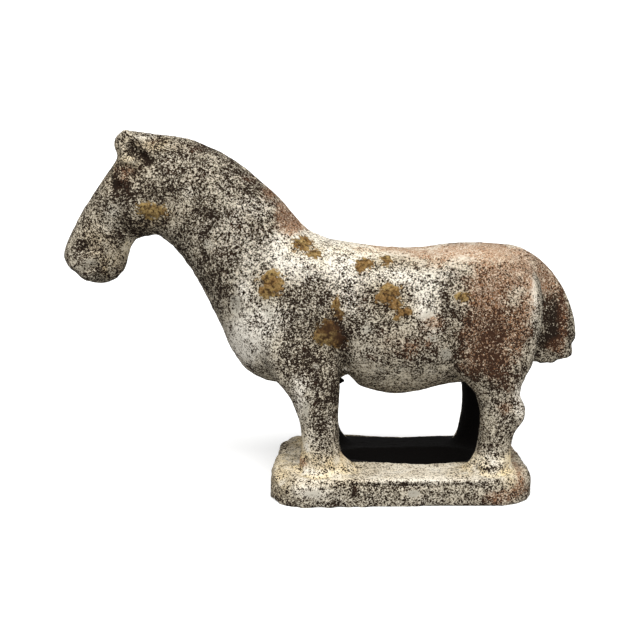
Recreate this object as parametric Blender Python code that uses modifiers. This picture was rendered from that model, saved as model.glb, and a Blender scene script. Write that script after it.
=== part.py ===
"""An earthenware horse on its pierced plinth, pressed and modelled as one piece of clay.

The horse faces -X and its left side faces -Y. The plinth stands on the plane Z = 0, and the origin is
under the middle of the whole figure, muzzle to tail. Everything is in metres.
"""

import math

import bmesh
import bpy
import numpy as np
from mathutils import Matrix, Vector

# Driving dimensions. The margins are how far the plinth runs beyond the hooves: before, behind and beside.
FIGURE_HEIGHT = 0.180
PLINTH_HEIGHT = 0.015
TOE_MARGIN = 0.0122
HEEL_MARGIN = 0.0098
SIDE_MARGIN = 0.0056
PLINTH_CORNER_RADIUS = 0.024
RIM_BEVEL = 0.0042
SIDE_SWELL = 0.0038
TOE_SLANT = 0.05
OPENING_LENGTH = 0.075
OPENING_WIDTH = 0.036
OPENING_BROADENING = 0.35

# The clay's finish: the grain that the lumps are fused at, and how far they are rubbed smooth
CLAY_GRAIN = 0.0015
RUBBING_PASSES = 6
TRIANGLE_BUDGET = 9400
TRIM_DEPTH = 0.004

# The figure is set out in its own unit, a 180th of the horse's height, so 1 mm at the real size.
# A height is counted from the top of the plinth, where the hooves stand.
UNIT = FIGURE_HEIGHT / 180

# Sections of the trunk and neck, from the rump to the poll:
# x and height on the back, x and height on the belly or throat, and half the width.
TRUNK = (
    (119.8, 95, 119.8, 82, 12),
    (118.2, 102.5, 118.2, 69, 22),
    (114, 109, 114, 58, 30),
    (107, 114, 107, 49.5, 35.5),
    (97, 118.4, 97, 45, 38.6),
    (84, 119.4, 84, 43, 39.5),
    (70, 118.8, 70, 41.7, 39),
    (55, 116.8, 55, 37.7, 38),
    (40, 116.8, 40, 36, 38),
    (25, 118.4, 25, 39.2, 38),
    (12, 120.3, 12, 43.5, 37.8),
    (1, 122, -3, 43.3, 37.2),
    (-6, 124.6, -17.3, 41.8, 35.8),
    (-10, 128, -30.5, 43.6, 33.8),
    (-15, 133.3, -41.2, 49.9, 31.2),
    (-20, 139.8, -48.7, 60.5, 28.6),
    (-26, 146, -54.3, 73.5, 25.9),
    (-33, 152.4, -60, 85.5, 23),
    (-42, 159.8, -67, 99, 20.5),
    (-52, 166.3, -74, 110, 18.5),
    (-63, 171.7, -81, 118, 17.5),
    (-75, 174.7, -88, 123, 17),
    (-86, 176, -95, 124, 16.5),
    (-95, 175, -101, 126, 14),
    (-100, 170, -103, 135, 8),
)

# Sections of the head, from behind the ears to the lips: nose line, jaw line and half the width.
HEAD = (
    (-94, 173, -78, 143, 12),
    (-102, 171, -80, 135, 15.5),
    (-107.4, 167, -83, 128, 18),
    (-111.3, 161.7, -89, 124, 18.7),
    (-117, 154, -95.5, 122.5, 18),
    (-122.2, 146.5, -101, 120.8, 15.6),
    (-127.7, 138.5, -103.3, 117, 13.8),
    (-132.8, 130, -104.6, 113, 13),
    (-137.1, 121.6, -105.4, 109, 13.2),
    (-139.7, 114.8, -107.5, 103.8, 13.4),
    (-139.8, 110.4, -112.2, 99, 12.8),
    (-137, 105.8, -118.5, 97, 11),
    (-131.5, 101.2, -125, 97.6, 7),
)

# Sections of the clipped mane, from the withers over the poll to the forelock: crest, root, half the width.
MANE = (
    (4, 122.6, 9, 112, 2.4),
    (-6.3, 127, 0, 116, 2.6),
    (-13.2, 133.6, -6, 124, 2.7),
    (-20.2, 142, -13, 133, 2.8),
    (-33.4, 154.4, -26, 143, 3),
    (-46.4, 164.6, -40, 152, 3.2),
    (-59.3, 171.3, -54, 158, 3.5),
    (-72.2, 176.1, -68, 163, 3.8),
    (-85.3, 177.8, -83, 165, 4.2),
    (-95, 179, -93, 167, 4.8),
    (-103, 180, -98.5, 168, 5.4),
    (-108.8, 178, -103, 166, 5.6),
    (-111.4, 172.5, -104, 164, 5.2),
    (-110, 168.3, -103.5, 161, 4),
)

# Sections of the tail, from the croup down: outer edge, inner edge against the buttocks, half the width.
TAIL = (
    (95, 119, 98, 103, 13),
    (107.5, 117.6, 103, 97, 15),
    (117.4, 112.6, 107.5, 90, 14),
    (125.4, 105.9, 111, 83, 12),
    (131.8, 98, 113, 77, 10.5),
    (136.8, 89, 114, 71, 10.5),
    (140.3, 79, 115, 65, 10.5),
    (142.2, 67, 115.5, 59, 10),
    (142.2, 56.2, 116.5, 52.3, 9),
)

# Level sections of one foreleg and one hind leg, from the plinth up:
# height, x of the front edge, x of the rear edge, half the width, and distance from the middle plane.
FORELEG = (
    (-2, -12.8, 21, 12.8, 29),
    (1.5, -11.3, 17, 11.8, 29),
    (5, -10.4, 13.6, 11.2, 29),
    (10, -9.8, 11.4, 10.8, 29),
    (17, -9.8, 10.4, 10.8, 29),
    (25, -10.7, 10.3, 11, 29),
    (31, -12.7, 10.3, 11.4, 29),
    (37, -14.9, 10.6, 12, 28.5),
    (43, -18.9, 11, 12.5, 28),
    (50, -25, 11.5, 12.3, 27.5),
    (60, -29, 11, 11.5, 27),
    (72, -30, 9, 9, 27),
    (85, -26, 4, 6, 27),
)
HIND_LEG = (
    (-2, 77, 104.3, 12.6, 29),
    (1.5, 80, 103, 11.8, 29),
    (6, 82.3, 102.4, 11, 29),
    (12, 83.6, 102.2, 10.6, 29),
    (17, 84.6, 102.9, 10.8, 29),
    (21.5, 85, 104.2, 11, 29),
    (25, 85.2, 107.2, 11.2, 29),
    (30, 85, 109.4, 11.3, 29),
    (35.5, 84.3, 109.2, 11.3, 29),
    (39, 83, 106.5, 11.6, 29),
    (43, 81, 106.4, 12.2, 28.8),
    (48, 76, 108, 13, 28.5),
    (57, 68, 112.8, 13, 28),
    (70, 64, 115.8, 13, 27.3),
    (84, 66, 117.8, 12, 26.5),
    (97, 74, 115.5, 9, 25.5),
    (107, 82, 109, 5, 24),
)
FAR_HIND_LEG_LEAD = 1.5

# One ear, from its root to its tip: rear edge, front edge, half the thickness, distance from the middle.
EAR = (
    (-90, 161, -104.5, 156, 3.4, 12.4),
    (-92, 168, -105.6, 164.5, 4.4, 13),
    (-95.5, 173.8, -106.8, 171, 4.4, 12.6),
    (-99, 178.6, -106.8, 177, 3.4, 11),
    (-101, 180.4, -105.4, 179.6, 2, 10),
)

# Strokes of the modelling tool on both sides of the horse:
# the stroke's path as x and height, its reach, and how far it raises the clay, or presses it in below zero.
STROKES = {
    "eye socket": (((-112, 157), (-110, 151), (-107, 148)), 4, -1.5),
    "eyeball": (((-108.3, 156.6), (-106.6, 153.4)), 4.6, 2),
    "cheek hollow": (((-107, 136), (-109, 128)), 8, -1.4),
    "nostril": (((-128, 114.5), (-125, 113)), 3.6, -1.6),
    "lips": (((-136.5, 102.5), (-129, 104), (-122, 107.5)), 2.6, -1.3),
    "chin groove": (((-120.5, 108), (-119, 97)), 2.6, -1),
    "ear hollow": (((-93.5, 164.5), (-102, 175)), 4, -3.2),
    "elbow crease": (((13.3, 70), (13, 60), (12.6, 50)), 3.6, -1.8),
}
STROKE_SIDE_LIMIT = 4


def clear_scene():
    for obj in list(bpy.data.objects):
        bpy.data.objects.remove(obj, do_unlink=True)


def figure_collection():
    made = bpy.data.collections.new("earthenware_horse")
    bpy.context.scene.collection.children.link(made)
    return made


def smooth_stations(stations, steps=4):
    """Rows in between the given ones, on Catmull-Rom curves through every column."""
    rows = [np.array(row, float) for row in stations]
    rows = [2 * rows[0] - rows[1], *rows, 2 * rows[-1] - rows[-2]]
    for a, b, c, d in zip(rows, rows[1:], rows[2:], rows[3:]):
        for step in range(steps):
            t = step / steps
            bend = (2 * a - 5 * b + 4 * c - d) * t**2 + (3 * b - a - 3 * c + d) * t**3
            yield (2 * b + (c - a) * t + bend) / 2
    yield rows[-2]


def section_matrix(one_end, other_end, half_width, offset):
    """Takes the unit circle to the oval that spans two points of the side view."""
    first = Vector((one_end[0], offset, one_end[1])) * UNIT
    second = Vector((other_end[0], offset, other_end[1])) * UNIT
    half_span = (first - second) / 2
    across = Vector((0, half_width * UNIT, 0))
    along = half_span.cross(across).normalized()
    matrix = Matrix((half_span, across, along)).transposed().to_4x4()
    matrix.translation = (first + second) / 2 + Vector((0, 0, PLINTH_HEIGHT))
    return matrix


def loft(bm, sections, fullness=2.0, ring_points=28):
    """A closed skin through ovals. A fullness above 2 makes them squarer."""
    last_ring = None
    for matrix in sections:
        ring = bmesh.ops.create_circle(bm, cap_ends=False, segments=ring_points, radius=1)["verts"]
        for vert in ring:
            for axis in (0, 1):
                vert.co[axis] = math.copysign(abs(vert.co[axis]) ** (2 / fullness), vert.co[axis])
            vert.co = matrix @ vert.co
        edges = list({edge for vert in ring for edge in vert.link_edges})
        if last_ring is None:
            bmesh.ops.contextual_create(bm, geom=edges)
        else:
            bmesh.ops.bridge_loops(bm, edges=last_ring + edges)
        last_ring = edges
    bmesh.ops.contextual_create(bm, geom=last_ring)


def loft_on_middle(bm, stations, fullness=2.0):
    """A loft on the horse's middle plane, as its trunk, head, mane and tail are."""
    rows = smooth_stations(stations)
    loft(bm, [section_matrix(row[0:2], row[2:4], row[4], 0) for row in rows], fullness)


def loft_leg(bm, stations, side, lead=0):
    """A leg on the side of the sign given, which may stand a little further forward than its fellow."""
    rows = smooth_stations(stations)
    sections = [
        section_matrix((front - lead, height), (rear - lead, height), half_width, side * offset)
        for height, front, rear, half_width, offset in rows
    ]
    loft(bm, sections, ring_points=20)


def loft_ear(bm, side):
    rows = smooth_stations(EAR)
    sections = [section_matrix(row[0:2], row[2:4], row[4], side * row[5]) for row in rows]
    loft(bm, sections, ring_points=16)


def plinth_extent():
    """Lowest and highest x of the plinth, and half its width, from where the hooves stand."""
    toe = FORELEG[0][1] * UNIT - TOE_MARGIN
    heel = HIND_LEG[0][2] * UNIT + HEEL_MARGIN
    hoof_reach = max((row[0][3] + row[0][4]) * UNIT for row in (FORELEG, HIND_LEG))
    return toe, heel, hoof_reach + SIDE_MARGIN


def upright_edges(bm):
    return [edge for edge in bm.edges if abs(edge.verts[0].co.z - edge.verts[1].co.z) > PLINTH_HEIGHT / 2]


def press_out_of_square(slab, toe, heel):
    """The sides swell beside the forefeet, and the toe end is a little slanted."""
    swell_reach = (heel - toe) / 4
    for vert in slab.verts:
        swell = SIDE_SWELL * math.exp(-(((vert.co.x - toe) / swell_reach - 0.5) ** 2))
        vert.co.y += math.copysign(swell, vert.co.y)
        if vert.co.x < (toe + heel) / 2:
            vert.co.x += TOE_SLANT * vert.co.y


def add_plinth(bm):
    """A slab with round corners and a worn upper edge. It runs below the floor and is cut flat later."""
    toe, heel, half_width = plinth_extent()
    height = PLINTH_HEIGHT + TRIM_DEPTH
    slab = bmesh.new()
    size = Matrix.Diagonal((heel - toe, 2 * half_width, height, 1))
    place = Matrix.Translation(((heel + toe) / 2, 0, PLINTH_HEIGHT - height / 2))
    bmesh.ops.create_cube(slab, size=1, matrix=place @ size)
    corners = dict(affect="EDGES", segments=8, profile=0.5, material=-1, clamp_overlap=True)
    bmesh.ops.bevel(slab, geom=upright_edges(slab), offset=PLINTH_CORNER_RADIUS, **corners)
    rim = [edge for edge in slab.edges if all(vert.co.z > PLINTH_HEIGHT - 1e-6 for vert in edge.verts)]
    bmesh.ops.bevel(slab, geom=rim, offset=RIM_BEVEL, affect="EDGES", segments=3, profile=0.5, material=-1)
    long_edges = [edge for edge in slab.edges if edge.calc_length() > PLINTH_CORNER_RADIUS]
    bmesh.ops.subdivide_edges(slab, edges=long_edges, cuts=12)
    press_out_of_square(slab, toe, heel)
    merge_into(bm, slab)


def merge_into(bm, other):
    mesh = bpy.data.meshes.new("lump")
    other.to_mesh(mesh)
    other.free()
    bm.from_mesh(mesh)
    bpy.data.meshes.remove(mesh)


def clay_lumps():
    """The lumps of clay that the potter puts together, each a closed skin, still overlapping."""
    bm = bmesh.new()
    loft_on_middle(bm, TRUNK, fullness=2.25)
    loft_on_middle(bm, HEAD, fullness=2.2)
    loft_on_middle(bm, MANE)
    loft_on_middle(bm, TAIL, fullness=2.3)
    for side in (-1, 1):
        loft_leg(bm, FORELEG, side)
        loft_leg(bm, HIND_LEG, side, lead=max(side, 0) * FAR_HIND_LEG_LEAD)
        loft_ear(bm, side)
    add_plinth(bm)
    bmesh.ops.recalc_face_normals(bm, faces=bm.faces)
    mesh = bpy.data.meshes.new("clay_lumps")
    bm.to_mesh(mesh)
    bm.free()
    return mesh


def opening_cutter():
    """The oval opening of the plinth, between the hooves and a little broader towards the hind pair."""
    between_hooves = (FORELEG[0][2] + HIND_LEG[0][1]) / 2 * UNIT
    depth = PLINTH_HEIGHT + 4 * TRIM_DEPTH
    bm = bmesh.new()
    bmesh.ops.create_cone(bm, cap_ends=True, segments=40, radius1=0.5, radius2=0.5, depth=depth)
    for vert in bm.verts:
        vert.co.y *= OPENING_WIDTH * (1 + OPENING_BROADENING * vert.co.x)
        vert.co.x *= OPENING_LENGTH
    mesh = bpy.data.meshes.new("opening")
    bm.to_mesh(mesh)
    bm.free()
    cutter = bpy.data.objects.new("opening", mesh)
    cutter.location = (between_hooves, 0, PLINTH_HEIGHT / 2)
    return cutter


def floor_cutter():
    """A block whose top face is the floor, as wide as the figure and more."""
    side = 4 * FIGURE_HEIGHT
    bm = bmesh.new()
    bmesh.ops.create_cube(bm, size=side)
    mesh = bpy.data.meshes.new("floor")
    bm.to_mesh(mesh)
    bm.free()
    cutter = bpy.data.objects.new("floor", mesh)
    cutter.location = (0, 0, -side / 2)
    return cutter


def keep_as_cutter(cutters, obj):
    obj.hide_render = True
    obj.display_type = "WIRE"
    cutters.objects.link(obj)
    return obj


def cut(obj, cutter):
    modifier = obj.modifiers.new(cutter.name, "BOOLEAN")
    modifier.operation = "DIFFERENCE"
    modifier.object = cutter


def fused_clay(collection, lumps, cutter):
    """The lumps fused into one skin, rubbed smooth where they meet, with the plinth's opening cut."""
    obj = bpy.data.objects.new("fused_clay", lumps)
    collection.objects.link(obj)
    fuse = obj.modifiers.new("fuse", "REMESH")
    fuse.mode = "VOXEL"
    fuse.voxel_size = CLAY_GRAIN
    cut(obj, cutter)
    fuse_again = obj.modifiers.new("fuse again", "REMESH")
    fuse_again.mode = "VOXEL"
    fuse_again.voxel_size = CLAY_GRAIN
    rub = obj.modifiers.new("rub", "SMOOTH")
    rub.factor = 0.5
    rub.iterations = RUBBING_PASSES
    bpy.context.view_layer.update()
    graph = bpy.context.evaluated_depsgraph_get()
    mesh = bpy.data.meshes.new_from_object(obj.evaluated_get(graph))
    bpy.data.objects.remove(obj, do_unlink=True)
    return mesh


def distance_to_path(points, path):
    """How far each point of the side view is from a path of straight runs."""
    nearest = np.full(len(points), np.inf)
    for start, end in zip(path, path[1:]):
        run = end - start
        share = np.clip(((points - start) @ run) / (run @ run), 0, 1)
        nearest = np.minimum(nearest, np.linalg.norm(points - (start + share[:, None] * run), axis=1))
    return nearest


def press_strokes(mesh):
    """Moves the clay in or out along its own normal, strongest on each stroke's path."""
    count = len(mesh.vertices)
    places, normals = np.empty(count * 3), np.empty(count * 3)
    mesh.vertices.foreach_get("co", places)
    mesh.vertex_normals.foreach_get("vector", normals)
    places, normals = places.reshape(-1, 3), normals.reshape(-1, 3)
    side_view = places[:, (0, 2)] - (0, PLINTH_HEIGHT)
    on_a_side = np.abs(places[:, 1]) > STROKE_SIDE_LIMIT * UNIT
    for path, reach, rise in STROKES.values():
        away = distance_to_path(side_view, np.array(path) * UNIT)
        share = np.clip(1 - away / (reach * UNIT), 0, 1) * on_a_side
        places += normals * (share * share * (3 - 2 * share) * rise * UNIT)[:, None]
    mesh.vertices.foreach_set("co", places.ravel())
    mesh.update()


def centre_on_origin(mesh):
    """Puts the middle of the figure's length and width over the origin."""
    corners = np.array([vert.co for vert in mesh.vertices])
    middle = (corners.min(axis=0) + corners.max(axis=0)) / 2
    mesh.transform(Matrix.Translation((-middle[0], -middle[1], 0)))


def earthenware():
    """Greyish white slip over a reddish brown body."""
    material = bpy.data.materials.new("slipped_earthenware")
    material.use_nodes = True
    shader = material.node_tree.nodes["Principled BSDF"]
    shader.inputs["Base Color"].default_value = (0.36, 0.31, 0.25, 1)
    shader.inputs["Roughness"].default_value = 0.9
    shader.inputs["Metallic"].default_value = 0.0
    return material


def finished_horse(collection, mesh, floor):
    horse = bpy.data.objects.new("earthenware_horse", mesh)
    collection.objects.link(horse)
    mesh.materials.clear()
    mesh.materials.append(earthenware())
    mesh.shade_smooth()
    mesh.calc_loop_triangles()
    lighten = horse.modifiers.new("lighten", "DECIMATE")
    lighten.ratio = TRIANGLE_BUDGET / len(mesh.loop_triangles)
    cut(horse, floor)
    return horse


def build():
    clear_scene()
    collection = figure_collection()
    cutters = bpy.data.collections.new("cutters")
    bpy.context.scene.collection.children.link(cutters)
    opening = keep_as_cutter(cutters, opening_cutter())
    floor = keep_as_cutter(cutters, floor_cutter())
    mesh = fused_clay(collection, clay_lumps(), opening)
    press_strokes(mesh)
    centre_on_origin(mesh)
    finished_horse(collection, mesh, floor)


build()
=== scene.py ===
# %% [markdown]
# # A little earthenware horse
#
# The real figure is a horse on a low plinth, pressed from red clay in a mould,
# dipped in white slip, fired once and then buried for a very long time. The slip
# is worn through on the rump and back, specked with dark pits all over, and
# caked with ochre soil in places. All of it is one piece of clay, so the lesson
# makes one piece: it takes the solid's form, gives it the fine surface that a
# hand could feel, and then paints the years on it.
#
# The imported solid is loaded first. Everything is in metres, with the plinth
# standing on z = 0, the nose towards -X and the camera looking along +Y.

import bpy
import bmesh
import math
import numpy as np
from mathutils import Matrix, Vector, noise


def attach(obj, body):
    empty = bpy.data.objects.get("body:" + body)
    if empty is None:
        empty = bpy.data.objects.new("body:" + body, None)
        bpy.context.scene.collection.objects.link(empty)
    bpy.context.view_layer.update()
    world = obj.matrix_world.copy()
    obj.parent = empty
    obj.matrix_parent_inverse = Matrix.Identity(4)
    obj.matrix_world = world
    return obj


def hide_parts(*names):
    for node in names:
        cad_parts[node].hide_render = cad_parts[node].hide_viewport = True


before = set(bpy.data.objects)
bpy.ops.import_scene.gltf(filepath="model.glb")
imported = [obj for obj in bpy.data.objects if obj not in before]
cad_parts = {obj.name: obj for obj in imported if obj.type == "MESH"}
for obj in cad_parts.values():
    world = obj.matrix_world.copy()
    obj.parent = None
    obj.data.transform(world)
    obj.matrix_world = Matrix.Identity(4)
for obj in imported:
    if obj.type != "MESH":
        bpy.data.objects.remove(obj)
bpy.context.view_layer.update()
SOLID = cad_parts["earthenware_horse"]

# %% [markdown]
# ## Camera
# The camera stands where the photographer stood: a little above the horse's
# back, looking slightly down. Its focal length is given in picture widths and
# turned into millimetres, because a Blender lens is measured on a 36 mm sensor.

# %% Stand the camera in front of the near side
SENSOR = 36.0  # mm
FOCAL = 1022.0 / 640.0  # in picture widths
LOOK_DOWN = 8.1  # degrees
STAND = (-0.00095, -0.560, 0.171)

camera_data = bpy.data.cameras.new("camera")
camera_data.sensor_width = SENSOR
camera_data.lens = FOCAL * SENSOR
camera = bpy.data.objects.new("camera", camera_data)
camera.location = STAND
camera.rotation_euler = (math.radians(90.0 - LOOK_DOWN), 0.0, 0.0)
bpy.context.scene.collection.objects.link(camera)
bpy.context.scene.camera = camera
print("camera looks down", LOOK_DOWN, "degrees, lens", round(camera_data.lens, 1), "mm")

# %% [markdown]
# ## Floor and light
# A white sweep and one broad soft light from above make the picture plain. The
# floor is a large grid whose far edge is drawn up into a wall and then rounded
# with a bevel, so that no horizon line crosses the picture. The paper glows a
# little, as paper does when a lamp is turned on it, and throws no light back at
# the belly, as if black cards lay beside the horse.

# %% Lay the pale sweep
SWEEP_HALF = 4.0
WALL_HEIGHT = 4.0
BEND = 1.5
BEND_STEPS = 16
PAPER = (0.90, 0.90, 0.895)
PAPER_GLOW = 0.40


def plain_material(name, colour, roughness):
    """A matt material with its colour and roughness on the shader's own sockets."""
    made = bpy.data.materials.new(name)
    made.use_nodes = True
    shader = made.node_tree.nodes["Principled BSDF"]
    shader.inputs["Base Color"].default_value = (*colour, 1.0)
    shader.inputs["Roughness"].default_value = roughness
    return made


def new_object(name, mesh_bm):
    """Turns a bmesh into an object at the origin."""
    mesh = bpy.data.meshes.new(name)
    mesh_bm.to_mesh(mesh)
    mesh_bm.free()
    made = bpy.data.objects.new(name, mesh)
    bpy.context.scene.collection.objects.link(made)
    return made


def far_and_low(vertex, height):
    """Whether a point of the sweep is on its far edge and under a height."""
    return vertex.co.y > SWEEP_HALF - 0.1 and vertex.co.z < height


sweep = bmesh.new()
bmesh.ops.create_grid(sweep, x_segments=1, y_segments=1, size=SWEEP_HALF)
far_edge = [e for e in sweep.edges if all(far_and_low(v, 0.1) for v in e.verts)]
raised = bmesh.ops.extrude_edge_only(sweep, edges=far_edge)["geom"]
raised_points = [g for g in raised if isinstance(g, bmesh.types.BMVert)]
bmesh.ops.translate(sweep, vec=(0, 0, WALL_HEIGHT), verts=raised_points)
fold = [e for e in sweep.edges if all(far_and_low(v, 0.1) for v in e.verts)]
bmesh.ops.bevel(
    sweep, geom=fold, offset=BEND, affect="EDGES", segments=BEND_STEPS, profile=0.5, material=-1
)
for face in sweep.faces:
    face.smooth = True
floor = new_object("paper_sweep", sweep)
paper = plain_material("white_paper", PAPER, 0.95)
paper_shader = paper.node_tree.nodes["Principled BSDF"]
paper_shader.inputs["Emission Color"].default_value = (1.0, 1.0, 1.0, 1.0)
paper_shader.inputs["Emission Strength"].default_value = PAPER_GLOW
floor.data.materials.append(paper)
floor.visible_diffuse = False
floor.visible_glossy = False
print("sweep", len(floor.data.polygons), "faces")

# %% Hang the soft light
TOP_LIGHT = {"strength": 3.15, "elevation": 52, "azimuth": 4, "width": 46}
SKY_STRENGTH = 0.41


def soft_sun(name, strength, elevation, azimuth, width):
    """A far, broad light. Azimuth 0 comes from the camera's side, 90 from +X."""
    data = bpy.data.lights.new(name, "SUN")
    data.energy = strength
    data.angle = math.radians(width)
    made = bpy.data.objects.new(name, data)
    e, a = math.radians(elevation), math.radians(azimuth)
    away = Vector((math.sin(a) * math.cos(e), -math.cos(a) * math.cos(e), math.sin(e)))
    made.rotation_euler = away.to_track_quat("Z", "Y").to_euler()
    bpy.context.scene.collection.objects.link(made)
    return made


soft_sun("top_light", **TOP_LIGHT)
world = bpy.data.worlds.new("studio")
world.use_nodes = True
sky = world.node_tree.nodes["Background"]
sky.inputs["Color"].default_value = (1.0, 1.0, 1.0, 1.0)
sky.inputs["Strength"].default_value = SKY_STRENGTH
bpy.context.scene.world = world
bpy.context.scene.view_settings.view_transform = "Standard"
print("light", TOP_LIGHT["strength"], "sky", SKY_STRENGTH)

# %% [markdown]
# ## The clay body
# The solid already has the horse's true form, in facets of about 5 mm. They
# could be subdivided, but its triangles are long and thin, and thin triangles
# crease when they are pushed about. So a copy is merged and wrapped again in an
# even skin of small squares by a voxel remesh. One square is a little over a
# millimetre, which is about the finest mark that a modelling tool leaves.

# %% Wrap the form in an even skin
SKIN = 0.00122
CLAY_NAME = "earthenware_horse_clay"

body_bm = bmesh.new()
body_bm.from_mesh(SOLID.data)
bmesh.ops.remove_doubles(body_bm, verts=body_bm.verts, dist=1e-6)
clay = new_object(CLAY_NAME, body_bm)
wrap = clay.modifiers.new("wrap", "REMESH")
wrap.mode = "VOXEL"
wrap.voxel_size = SKIN
graph = bpy.context.evaluated_depsgraph_get()
skin_mesh = bpy.data.meshes.new_from_object(clay.evaluated_get(graph))
clay.modifiers.clear()
clay.data = skin_mesh
skin_mesh.name = CLAY_NAME
triangles = sum(len(p.vertices) - 2 for p in skin_mesh.polygons)
print("skin", len(skin_mesh.vertices), "points,", triangles, "triangles")

# %% [markdown]
# ## Sponge it smooth
# A potter wipes a leather-hard figure with a damp sponge. Here each point moves
# towards the mean of its neighbours and is then pushed out again by slightly
# more, so that the facets go and the form neither shrinks nor swells. All the
# points are kept in one array, in millimetres, because moving them together is
# hundreds of times faster than moving them one by one.

# %% Take the points out and sponge them
SPONGE_TURNS = 24
SPONGE_IN = 0.55
SPONGE_OUT = 0.57

points = np.empty(len(skin_mesh.vertices) * 3)
skin_mesh.vertices.foreach_get("co", points)
points = points.reshape(-1, 3) * 1000.0
edges = np.empty(len(skin_mesh.edges) * 2, int)
skin_mesh.edges.foreach_get("vertices", edges)
edges = edges.reshape(-1, 2)
neighbours = np.bincount(edges.ravel(), minlength=len(points)).astype(float)


def spread(values):
    """Each point's mean of its neighbours' values."""
    columns = values.reshape(len(values), -1)
    total = np.zeros_like(columns)
    for k in range(columns.shape[1]):
        total[:, k] = np.bincount(edges[:, 0], columns[edges[:, 1], k], len(values))
        total[:, k] += np.bincount(edges[:, 1], columns[edges[:, 0], k], len(values))
    return (total / neighbours[:, None]).reshape(values.shape)


def directions():
    """The outward direction at each point."""
    skin_mesh.vertices.foreach_set("co", (points / 1000.0).ravel())
    skin_mesh.update()
    out = np.empty(len(points) * 3)
    skin_mesh.vertex_normals.foreach_get("vector", out)
    return out.reshape(-1, 3)


for turn in range(SPONGE_TURNS):
    points += SPONGE_IN * (spread(points) - points)
    points -= SPONGE_OUT * (spread(points) - points)
print("sponged smooth, now", np.round(np.ptp(points, axis=0), 1), "mm")

# %% [markdown]
# ## Spots, waves and tools
# Three small helpers shape everything that follows. A spot is 1 at its centre
# and 0 at its rim, and serves for crusts and dents. Grain is a smooth random
# wave, always drawn from the same seed. A tool is pressed in along a bent line,
# as a potter's stick is, and with a negative depth it adds a roll of clay. A
# stroke on both sides is mirrored, because the mould was nearly symmetrical.

# %% Spots and waves
def spot(centre, reach):
    """1 at the centre of a spot, 0 on its rim, below 0 outside."""
    away = (points - np.array(centre)) / np.array(reach)
    return 1.0 - np.sqrt((away ** 2).sum(1))


def step(values, low, high):
    """0 below low, 1 above high and smooth between."""
    t = np.clip((values - low) / (high - low), 0, 1)
    return t * t * (3 - 2 * t)


def hill(values, centre, width):
    """1 where the values are at the centre, falling off smoothly over the width."""
    return np.exp(-((values - centre) / width) ** 2)


def grain(size, seed, detail=0):
    """Smooth random waves over the clay, about -1 to 1, with hills of that size in mm."""
    shift = Vector((17.3 * seed, -9.1 * seed, 4.7 * seed))
    out = np.zeros(len(points))
    for k in range(detail + 1):
        finer = 2.1 ** k
        out += 0.5 ** k * np.array([noise.noise(Vector(p) / size * finer + shift) for p in points])
    return out


print("spots and waves ready")

# %% Tools
BOTH = (-1, 1)
NEAR = (-1,)


def line_distance(path, side):
    """How far each point is from a bent line; side -1 is the near side, 1 the far."""
    best = np.full(len(points), 1e9)
    path = [np.array((x, -y * side, z)) for x, y, z in path]
    for a, b in zip(path, path[1:]):
        t = np.clip(((points - a) @ (b - a)) / ((b - a) @ (b - a)), 0, 1)
        best = np.minimum(best, np.linalg.norm(points - (a + t[:, None] * (b - a)), axis=1))
    return best


def tool(path, width, depth, sides=BOTH):
    """Presses a tool in along a line; a negative depth adds clay instead."""
    global points
    out = directions()
    push = sum(np.exp(-(line_distance(path, side) / width) ** 2) for side in sides)
    points = points - (depth * np.minimum(push, 1.0))[:, None] * out


def carve(strokes, sides=BOTH):
    """Draws named strokes one after another: name, line, width and depth in mm."""
    for name, path, width, depth in strokes:
        tool(path, width, depth, sides)
    print("carved:", ", ".join(stroke[0] for stroke in strokes))


# %% [markdown]
# ## Carve the head
# The mould gave the head a few plain forms, and the potter sharpened them with
# a stick: the ear's hollow and rims, the lids round the eye, the nostril, the
# mouth and the edge of the jaw. Each could be a sculpted map, but a list of
# strokes is short, and one stroke can be moved without touching the others.

# %% Ear, forelock and eye
carve([
    ("ear's hollow", [(-101.4, -14.0, 187), (-96.8, -14.5, 182.5), (-91.5, -14.2, 178.2)], 2.6, 2.5),
    ("ear's front rim", [(-105.2, -13.5, 191.2), (-104.4, -16, 186.5), (-103.2, -16.8, 180.5)], 1.5, -1.1),
    ("ear's upper rim", [(-100, -12, 190.2), (-94, -12, 188.5), (-88, -12, 185.6),
                         (-82, -12.5, 183.5)], 1.7, -1.1),
    ("groove on the poll", [(-91, -5, 190.6), (-87, -6, 188.8), (-83, -8, 187.0)], 1.7, 0.9),
    ("groove by the forelock", [(-106.5, -11, 189), (-106.9, -11, 184.5), (-105.5, -11, 180.5)], 1.3, 1.0),
    ("ear's root", [(-105, -15.5, 179.4), (-101, -17, 177.6), (-96.8, -16.8, 176.4)], 1.7, -1.5),
    ("eye's front corner", [(-110.2, -14, 173.0), (-108.6, -16.8, 169), (-107.4, -17, 164.8)], 1.5, 1.9),
    ("eyeball", [(-104.8, -16.8, 171.6), (-103.6, -17, 168.6)], 2.6, -0.9),
    ("upper lid", [(-107, -15.5, 174.0), (-101, -17, 173.6), (-97.5, -17, 170.8)], 1.5, 1.3),
    ("lower lid", [(-106.5, -16.2, 164.2), (-101, -17.3, 164.6), (-98, -17.3, 167.5)], 1.5, 1.0),
])

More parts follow.
